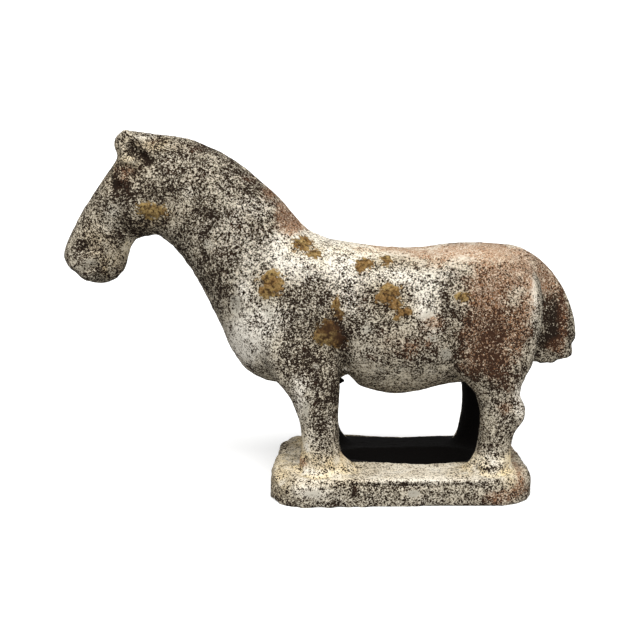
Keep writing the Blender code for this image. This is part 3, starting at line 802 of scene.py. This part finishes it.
# %% Map the films
FILM = {
    "cheek": [
        (-79, 152.2, 4.2, 5.1, 0.35),
    ],
    "muzzle": [
        (-123.7, 124.8, 5.7, 2.5, 0.85), (-89.4, 133.9, 5.2, 2.5, 0.35),
    ],
    "neck": [
        (-59.2, 133.9, 4.7, 6.1, 0.65), (-59.2, 154.8, 3.1, 4.1, 0.35), (-68.6, 122.8, 5.2, 3.6, 0.35),
    ],
    "withers": [
        (5.8, 127.8, 5.2, 3.1, 0.45),
    ],
    "chest and shoulder": [
        (-45.7, 102.9, 3.1, 5.6, 1.3), (-28, 100.4, 4.2, 6.6, 0.75), (-33.8, 85.2, 3.1, 6.1, 0.65),
        (-52, 83.6, 5.2, 8.2, 0.25), (-3.1, 72.5, 3.1, 3.1, 0.8), (-11.4, 83.6, 5.2, 4.1, 0.4),
    ],
    "back and ribs": [
        (54.1, 99.4, 6.8, 4.1, 0.75), (56.2, 87.2, 3.1, 2.5, 0.9), (22.9, 92.3, 3.6, 4.6, 0.7),
        (61.4, 86.2, 2.6, 4.6, 0.5), (50.5, 108, 5.2, 3.6, 0.3),
    ],
    "belly": [
        (65, 78.1, 4.2, 5.1, 0.85), (43.2, 69.9, 7.3, 3.1, 0.5), (29.2, 69.9, 6.2, 3.1, 0.5),
    ],
    "thigh": [
        (91, 83.6, 3.1, 3.1, 0.35),
    ],
    "tail": [
        (111.8, 106.5, 2.1, 6.1, 0.6), (119.6, 111.1, 3.1, 3.1, 0.9),
    ],
    "forelegs": [
        (0, 56.7, 2.1, 4.1, 0.3), (-8.3, 49.6, 3.1, 7.1, 0.8),
    ],
    "hind legs": [
        (104, 59.8, 3.1, 7.1, 0.45), (83.2, 35.4, 4.2, 7.1, 0.4),
    ],
    "hooves and plinth top": [
        (-10.9, 31.3, 2.6, 4.6, 0.5), (-20.8, 29.3, 9.4, 11.2, 0.85), (40.6, 22.2, 34.3, 3.6, 0.55),
        (100.9, 24.2, 7.3, 5.1, 0.5), (100.9, 20.1, 5.2, 3.1, 0.5),
    ],
    "plinth": [
        (-4.1, 7.9, 6.8, 3.1, 0.9), (47.4, 6.9, 4.7, 2.5, 1.1), (8.4, 6.4, 3.1, 2, 0.5),
        (77, 10, 5.2, 2, 0.4),
    ],
}
print("films:", sum(len(marks) for marks in FILM.values()), "marks")

# %% [markdown]
# ## Lay the marks on the points
# All marks of one kind are added up on every point. The far side gets the same
# marks fainter and shifted, as the same grave would leave them, and the two
# sides blend over a wavy line along the back, so that no seam shows. The tail's
# marks are kept to the thin tail, or they would fall on the haunch beside it.

# %% Add the marks up
SIDES_MEET = (-12, 7)
FAR_SHARE = 0.7
FAR_SHIFT = 6
FAR_DROP = 3
BASE_GRIME_AND_SHADE = 0.46
BASE_PALE_AND_HIGHLIGHT = 0.30

x, y, z = points.T
out = directions()
upward = out[:, 2]
near = step(4.0 * grain(12.0, 14) - y, *SIDES_MEET)
on_tail = step(-np.abs(y), -19, -13)


def washed(places):
    """Adds up soft marks for the near side, and fainter ones for the far side."""
    here = there = 0.0
    for place, marks in places.items():
        kept = on_tail if place == "tail" else 1.0
        for a, b, c, d, strength in marks:
            here = here + strength * kept * hill(x, a, c) * hill(z, b, d)
            there = there + strength * kept * hill(x, a + FAR_SHIFT, c) * hill(z, b - FAR_DROP, d)
    return here * near + FAR_SHARE * there * (1 - near)


# Faces that look down get more grime, which is painted shade under the belly, the chin and the chest.
shade_underneath = step(-upward, 0.35, 0.95)
grime_and_shade = np.clip(BASE_GRIME_AND_SHADE + washed(GRIME_AND_SHADE) + 0.12 * grain(16.0, 7, detail=1) + 0.10 * shade_underneath, 0, 1.9)
pale_and_highlight = np.clip(BASE_PALE_AND_HIGHLIGHT + washed(PALE_AND_HIGHLIGHT) + 0.12 * grain(22.0, 8), 0, 1)
bare = np.clip(0.92 * washed(BARE) + 0.20 * grain(10.0, 9, detail=1), 0, 1)
film = np.clip(washed(FILM), 0, 1)
low_hollows = step(hollow, 0.10, 0.5) * step(-z, -40, -16)
ochre = np.clip(washed(OCHRE) + 0.6 * low_hollows, 0, 1)
print("marks laid: mean grime", round(float(grime_and_shade.mean()), 2), "pale_and_highlight", round(float(pale_and_highlight.mean()), 2))

# %% [markdown]
# ## Paint shade into the gap between the legs
# Inside the plinth's opening, on the inner faces of the legs and at the far feet,
# the clay is painted nearly black: painted shade, for the deep shade under the
# belly. The place is cut out of the figure by its own limits in x, y and z and by
# the way that the surface faces. The camera plays no part in it, so it stays
# where it is in every view.

# %% Map the painted black shade
between = step(x, 8, 13) * step(-x, -107, -102) * step(-z, -70, -64)
shaded_well = between * step(y, -19, -15) * step(-y, -46, -38) * step(-z, -17.5, -16.4)
faces_near = step(-out[:, 1], 0.1, 0.6)
faces_far = step(out[:, 1], 0.3, 0.8)
shaded_inner_legs = between * step(z, 16, 17.5) * np.maximum(step(y, 2, 8) * faces_near, step(-y, 2, 8) * faces_far)
shaded_far_feet = step(x, 8, 12) * step(-x, -106, -102) * step(-z, -70, -64)
shaded_far_feet = shaded_far_feet * step(y, 10, 16) * step(-out[:, 1], -0.2, 0.3)
painted_black_shade = np.clip(np.maximum(np.maximum(shaded_well, shaded_inner_legs), shaded_far_feet), 0, 1)
# Counts the points under the painted black shade.
print("black damp on", int((painted_black_shade > 0.5).sum()), "points")

# %% Store the fields on the clay
FIELDS = {
    "grime_and_shade": grime_and_shade, "pale_and_highlight": pale_and_highlight, "bare": bare, "ochre": ochre, "film": film, "soil": soil, "painted_black_shade": painted_black_shade,
}
skin_mesh.vertices.foreach_set("co", (points / 1000.0).ravel())
skin_mesh.update()
for name, values in FIELDS.items():
    field = clay.data.attributes.new(name, "FLOAT", "POINT")
    field.data.foreach_set("value", values.astype(np.float32))
for face in clay.data.polygons:
    face.use_smooth = True
print("fields stored:", ", ".join(FIELDS))

# %% [markdown]
# ## The slipped earthenware
# The material is built in layers, in the order in which they came: red clay,
# pale slip over it, dark pits through both, then soil and damp. Each layer is a
# mix that a noise pattern breaks up, so that no edge is smooth. An image could
# be painted instead, but a pattern in millimetres has no seams, stays sharp
# close up and reaches the side that no photograph shows. A small kit of words
# keeps the node wiring short.

# %% A small kit for wiring materials
class Wires:
    """Short words for the nodes that this material needs."""

    def __init__(self, tree):
        self.tree = tree

    def node(self, kind, **values):
        """A new node with its settings."""
        made = self.tree.nodes.new(kind)
        for key, value in values.items():
            setattr(made, key, value)
        return made

    def plug(self, value, socket):
        """Links a socket, or sets a plain value."""
        if isinstance(value, bpy.types.NodeSocket):
            self.tree.links.new(value, socket)
        else:
            socket.default_value = value

    def field(self, name):
        """A field that is stored on the clay's points."""
        return self.node("ShaderNodeAttribute", attribute_name=name).outputs["Fac"]

    def noise(self, where, scale, detail=2.0, roughness=0.6, distortion=0.0):
        """A noise pattern with so many waves to the metre."""
        made = self.node("ShaderNodeTexNoise")
        self.plug(where, made.inputs["Vector"])
        made.inputs["Scale"].default_value = scale
        made.inputs["Detail"].default_value = detail
        made.inputs["Roughness"].default_value = roughness
        made.inputs["Distortion"].default_value = distortion
        return made.outputs["Fac"]

    def math(self, how, a, b=0.0, c=0.0):
        """One sum on two or three values."""
        made = self.node("ShaderNodeMath", operation=how)
        for value, socket in zip((a, b, c), made.inputs):
            self.plug(value, socket)
        return made.outputs[0]

    def times(self, a, b):
        """A product."""
        return self.math("MULTIPLY", a, b)

    def add_share(self, value, share, base):
        """The base with a share of the value added."""
        return self.math("MULTIPLY_ADD", value, share, base)

    def ramp(self, value, low, high):
        """0 at low, 1 at high and smooth between; high may be the smaller number."""
        made = self.node("ShaderNodeMapRange", interpolation_type="SMOOTHSTEP")
        self.plug(value, made.inputs["Value"])
        made.inputs["From Min"].default_value = low
        made.inputs["From Max"].default_value = high
        return made.outputs["Result"]

    def mix(self, share, a, b):
        """Colour a with a share of colour b laid over it."""
        made = self.node("ShaderNodeMix", data_type="RGBA")
        self.plug(share, made.inputs["Factor"])
        for colour, socket in ((a, "A"), (b, "B")):
            is_link = isinstance(colour, bpy.types.NodeSocket)
            self.plug(colour if is_link else (*colour, 1.0), made.inputs[socket])
        return made.outputs["Result"]

    def waver(self, value, pattern, amount):
        """A field with a noise pattern added, so that its edges break up."""
        return self.add_share(self.math("SUBTRACT", pattern, 0.5), amount, value)


earthenware = bpy.data.materials.new("slipped_earthenware")
earthenware.use_nodes = True
tree = earthenware.node_tree
shader = tree.nodes["Principled BSDF"]
w = Wires(tree)
where = w.node("ShaderNodeTexCoord").outputs["Object"]
print("material started")

# %% [markdown]
# ## Patterns, from fine to broad
# The specks on the real surface are under a millimetre, they gather in clumps
# of a few millimetres, and the clumps in clouds the size of a coin. Three noise
# patterns of those sizes give that, and a fourth, the worm pattern, is thin
# where the noise crosses its middle value, which draws a net of fine lines like
# the cracks in worn slip.

# %% Noise patterns
fine = w.noise(where, 1280, 1.0, 0.5, 0.9)
cluster = w.noise(where, 560, 2.0, 0.6, 0.5)
middle = w.noise(where, 150, 3.0, 0.6)
broad = w.noise(where, 40, 3.0, 0.6)
worm = w.math("ABSOLUTE", w.math("SUBTRACT", w.noise(where, 800, 1.0, 0.5, 0.6), 0.5))
crumbs = w.noise(where, 520, 3.0, 0.7)
lobes = w.noise(where, 260, 2.0, 0.6)
print("patterns ready, nodes so far", len(tree.nodes))

# %% [markdown]
# ## Dark pits
# Salts ate pits through the slip, and dark dirt settled in them, most where the
# grime-and-shade field is high and least where the pale-and-highlight field is
# high or a smooth film of lime lies over it. All of that is added to the finest
# noise as a lean, and what comes over a threshold is a pit. So the grime-and-shade
# map makes more and larger specks, and never a grey wash, and its painted shade
# shows as dark specks.

# %% The lean towards a pit
pit = w.add_share(w.field("grime_and_shade"), 0.20, fine)
pit = w.waver(w.waver(pit, cluster, 0.56), middle, 0.44)
pit = w.add_share(w.field("pale_and_highlight"), -0.10, pit)
lime = w.ramp(w.waver(w.waver(w.field("film"), middle, 0.9), cluster, 0.7), 0.35, 0.75)
pit = w.add_share(lime, -0.13, pit)
print("pit pattern ready")

# %% [markdown]
# ## Red clay
# The body is a red clay, deep brown to warm red at random. Where the
# pale-and-highlight field is high it is mixed towards pale pink and chalk, so it
# carries that field's painted highlight too.

# %% Red clay under the slip
DEEP_CLAY, WARM_CLAY = (0.095, 0.041, 0.021), (0.29, 0.135, 0.062)
PINK_CLAY, CHALKY_CLAY = (0.36, 0.195, 0.105), (0.70, 0.47, 0.30)
red_clay = w.mix(w.ramp(middle, 0.38, 0.66), DEEP_CLAY, WARM_CLAY)
pale_and_lit_clay = w.mix(w.ramp(cluster, 0.35, 0.65), PINK_CLAY, CHALKY_CLAY)
red_clay = w.mix(w.times(w.field("pale_and_highlight"), 0.9), red_clay, pale_and_lit_clay)
print("clay mixed")

# %% [markdown]
# ## Pale slip
# The slip is a thin coat of white clay. Thick slip is nearly white, thin slip
# lets the dark body through and looks like weak tea. Which of them shows follows
# the pale-and-highlight field, so the thick slip's white is partly painted
# highlight. It is greyer under a film of lime, yellow where ochre washed over it,
# with the light ochre as a painted warm highlight where that field is high, and
# pinkish where it is nearly gone. It darkens a little round every pit, which
# joins the specks to it.

# %% Slip, thick and thin
THIN_SLIP, THIN_BY_PITS = (0.64, 0.575, 0.45), (0.25, 0.215, 0.155)
THICK_SLIP, THICK_BY_PITS = (0.93, 0.875, 0.765), (0.49, 0.44, 0.355)
WORN_SLIP = (0.66, 0.48, 0.34)
DULL_LIME, LIGHT_LIME = (0.34, 0.315, 0.255), (0.60, 0.56, 0.47)
DULL_OCHRE, LIGHT_OCHRE = (0.46, 0.335, 0.185), (0.96, 0.80, 0.50)
thin_slip = w.mix(w.ramp(pit, 0.38, 0.53), THIN_SLIP, THIN_BY_PITS)
thick_slip = w.mix(w.ramp(pit, 0.38, 0.58), THICK_SLIP, THICK_BY_PITS)
# The thick slip's white is painted highlight where the pale field holds highlight marks.
slip = w.mix(w.ramp(w.waver(w.field("pale_and_highlight"), middle, 0.7), 0.15, 0.95), thin_slip, thick_slip)
slip = w.mix(w.times(w.field("bare"), 0.34), slip, WORN_SLIP)
slip = w.mix(w.times(lime, 0.85), slip, w.mix(w.field("pale_and_highlight"), DULL_LIME, LIGHT_LIME))
# The light ochre is a painted warm highlight where the pale field holds highlight marks.
stain = w.mix(w.field("pale_and_highlight"), DULL_OCHRE, LIGHT_OCHRE)
slip = w.mix(w.times(w.field("ochre"), w.ramp(middle, 0.25, 0.60)), slip, stain)
print("slip mixed")

# %% [markdown]
# ## Wear the slip off
# On the rump, the back and the tail the slip has worn through to the clay. The
# map of bare places is broken up by three patterns at once. The worm net is
# left standing on the bare clay as thin pale lines, which is how slip survives
# in the dips of a rubbed surface. The pits come last, each with a brown rim.

# %% Wear, pale net and pits
NET, PIT_RIM = (0.70, 0.56, 0.41), (0.15, 0.103, 0.062)
PIT_IN_SLIP, PIT_IN_CLAY = (0.017, 0.010, 0.006), (0.048, 0.021, 0.011)
worn = w.waver(w.waver(w.waver(w.field("bare"), broad, 0.5), middle, 1.3), cluster, 0.8)
held_back = w.times(w.ramp(worm, 0.070, 0.020), w.add_share(w.field("pale_and_highlight"), 0.5, 0.62))
worn = w.math("SUBTRACT", worn, held_back)
ground = w.mix(w.ramp(worn, 0.28, 0.62), slip, red_clay)
net = w.times(w.ramp(worm, 0.055, 0.015), w.ramp(w.field("bare"), 0.15, 0.70))
ground = w.mix(w.times(net, 0.75), ground, NET)
pit = w.add_share(w.ramp(worn, 0.3, 0.8), -0.03, pit)
pit = w.add_share(net, -0.035, pit)
pits = w.ramp(pit, 0.570, 0.594)
pit_colour = w.mix(w.ramp(worn, 0.15, 0.65), PIT_IN_SLIP, PIT_IN_CLAY)
ground = w.mix(w.ramp(pit, 0.540, 0.570), ground, PIT_RIM)
ground = w.mix(pits, ground, pit_colour)
print("clay, slip and pits layered")

# %% [markdown]
# ## Soil, and painted black shade
# The crusts are ochre earth, dark in the gaps between the crumbs and painted
# light on the crumbs' tops, as a highlight where the bump lifts them. They are
# browner where the grime-and-shade field is high, so they carry its painted shade
# too. The painted black shade between the legs is laid last, over everything
# under it.

# %% Soil crusts
GOLDEN_SOIL, BROWN_SOIL = (0.40, 0.27, 0.100), (0.27, 0.150, 0.050)
SOIL_GAPS, SOIL_TOP_HIGHLIGHT = (0.055, 0.029, 0.010), (0.58, 0.45, 0.235)
SOIL_GRIME_AND_SHADE, SOIL_SPECKS = (0.050, 0.022, 0.010), (0.060, 0.032, 0.012)
golden = w.mix(w.ramp(middle, 0.40, 0.62), GOLDEN_SOIL, BROWN_SOIL)
ochre_soil = w.mix(w.ramp(crumbs, 0.37, 0.58), SOIL_GAPS, golden)
# Painted highlight: the crumbs' raised tops are coloured light.
ochre_soil = w.mix(w.ramp(crumbs, 0.60, 0.76), ochre_soil, SOIL_TOP_HIGHLIGHT)
# Darker where the grime-and-shade field is high, which is partly painted shade.
ochre_soil = w.mix(w.ramp(w.waver(w.field("grime_and_shade"), cluster, 0.8), 0.62, 1.15), ochre_soil, SOIL_GRIME_AND_SHADE)
ochre_soil = w.mix(w.times(w.ramp(fine, 0.54, 0.60), 0.55), ochre_soil, SOIL_SPECKS)
rim = w.waver(w.waver(w.field("soil"), lobes, 1.4), crumbs, 1.3)
soiled = w.mix(w.ramp(rim, -0.12, 0.20), ground, ochre_soil)
print("soil laid")

# %% Painted black shade, and the colour onto the shader
BLACK_SHADE_COLOUR = (0.004, 0.003, 0.0025)
ROUGHNESS = 0.92
SPECULAR = 0.15
# Painted shade: the gap between the legs is coloured nearly black.
black_shade_share = w.ramp(w.waver(w.waver(w.field("painted_black_shade"), fine, 0.5), middle, 0.5), 0.30, 0.62)
tree.links.new(w.mix(black_shade_share, soiled, BLACK_SHADE_COLOUR), shader.inputs["Base Color"])
shader.inputs["Roughness"].default_value = ROUGHNESS
shader.inputs["Specular IOR Level"].default_value = SPECULAR
print("damp laid")

# %% [markdown]
# ## Pits that the light can feel
# The pits and crumbs are too fine for the mesh, so a bump node tilts the light
# on them. It sinks the pits and lifts the crumbs by at most half a millimetre,
# and the larger relief stays real.

# %% Bump
BUMP_STRENGTH = 0.55
BUMP_REACH = 0.0005
height = w.add_share(pits, -0.7, w.times(cluster, 0.6))
height = w.add_share(w.times(w.ramp(rim, 0.0, 0.3), crumbs), 2.4, height)
bump = w.node("ShaderNodeBump")
bump.inputs["Strength"].default_value = BUMP_STRENGTH
bump.inputs["Distance"].default_value = BUMP_REACH
tree.links.new(height, bump.inputs["Height"])
tree.links.new(bump.outputs["Normal"], shader.inputs["Normal"])
clay.data.materials.clear()
clay.data.materials.append(earthenware)
print("material", earthenware.name, "has", len(tree.nodes), "nodes")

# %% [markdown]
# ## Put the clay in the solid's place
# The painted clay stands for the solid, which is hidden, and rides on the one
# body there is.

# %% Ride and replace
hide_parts("earthenware_horse")
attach(clay, "root")
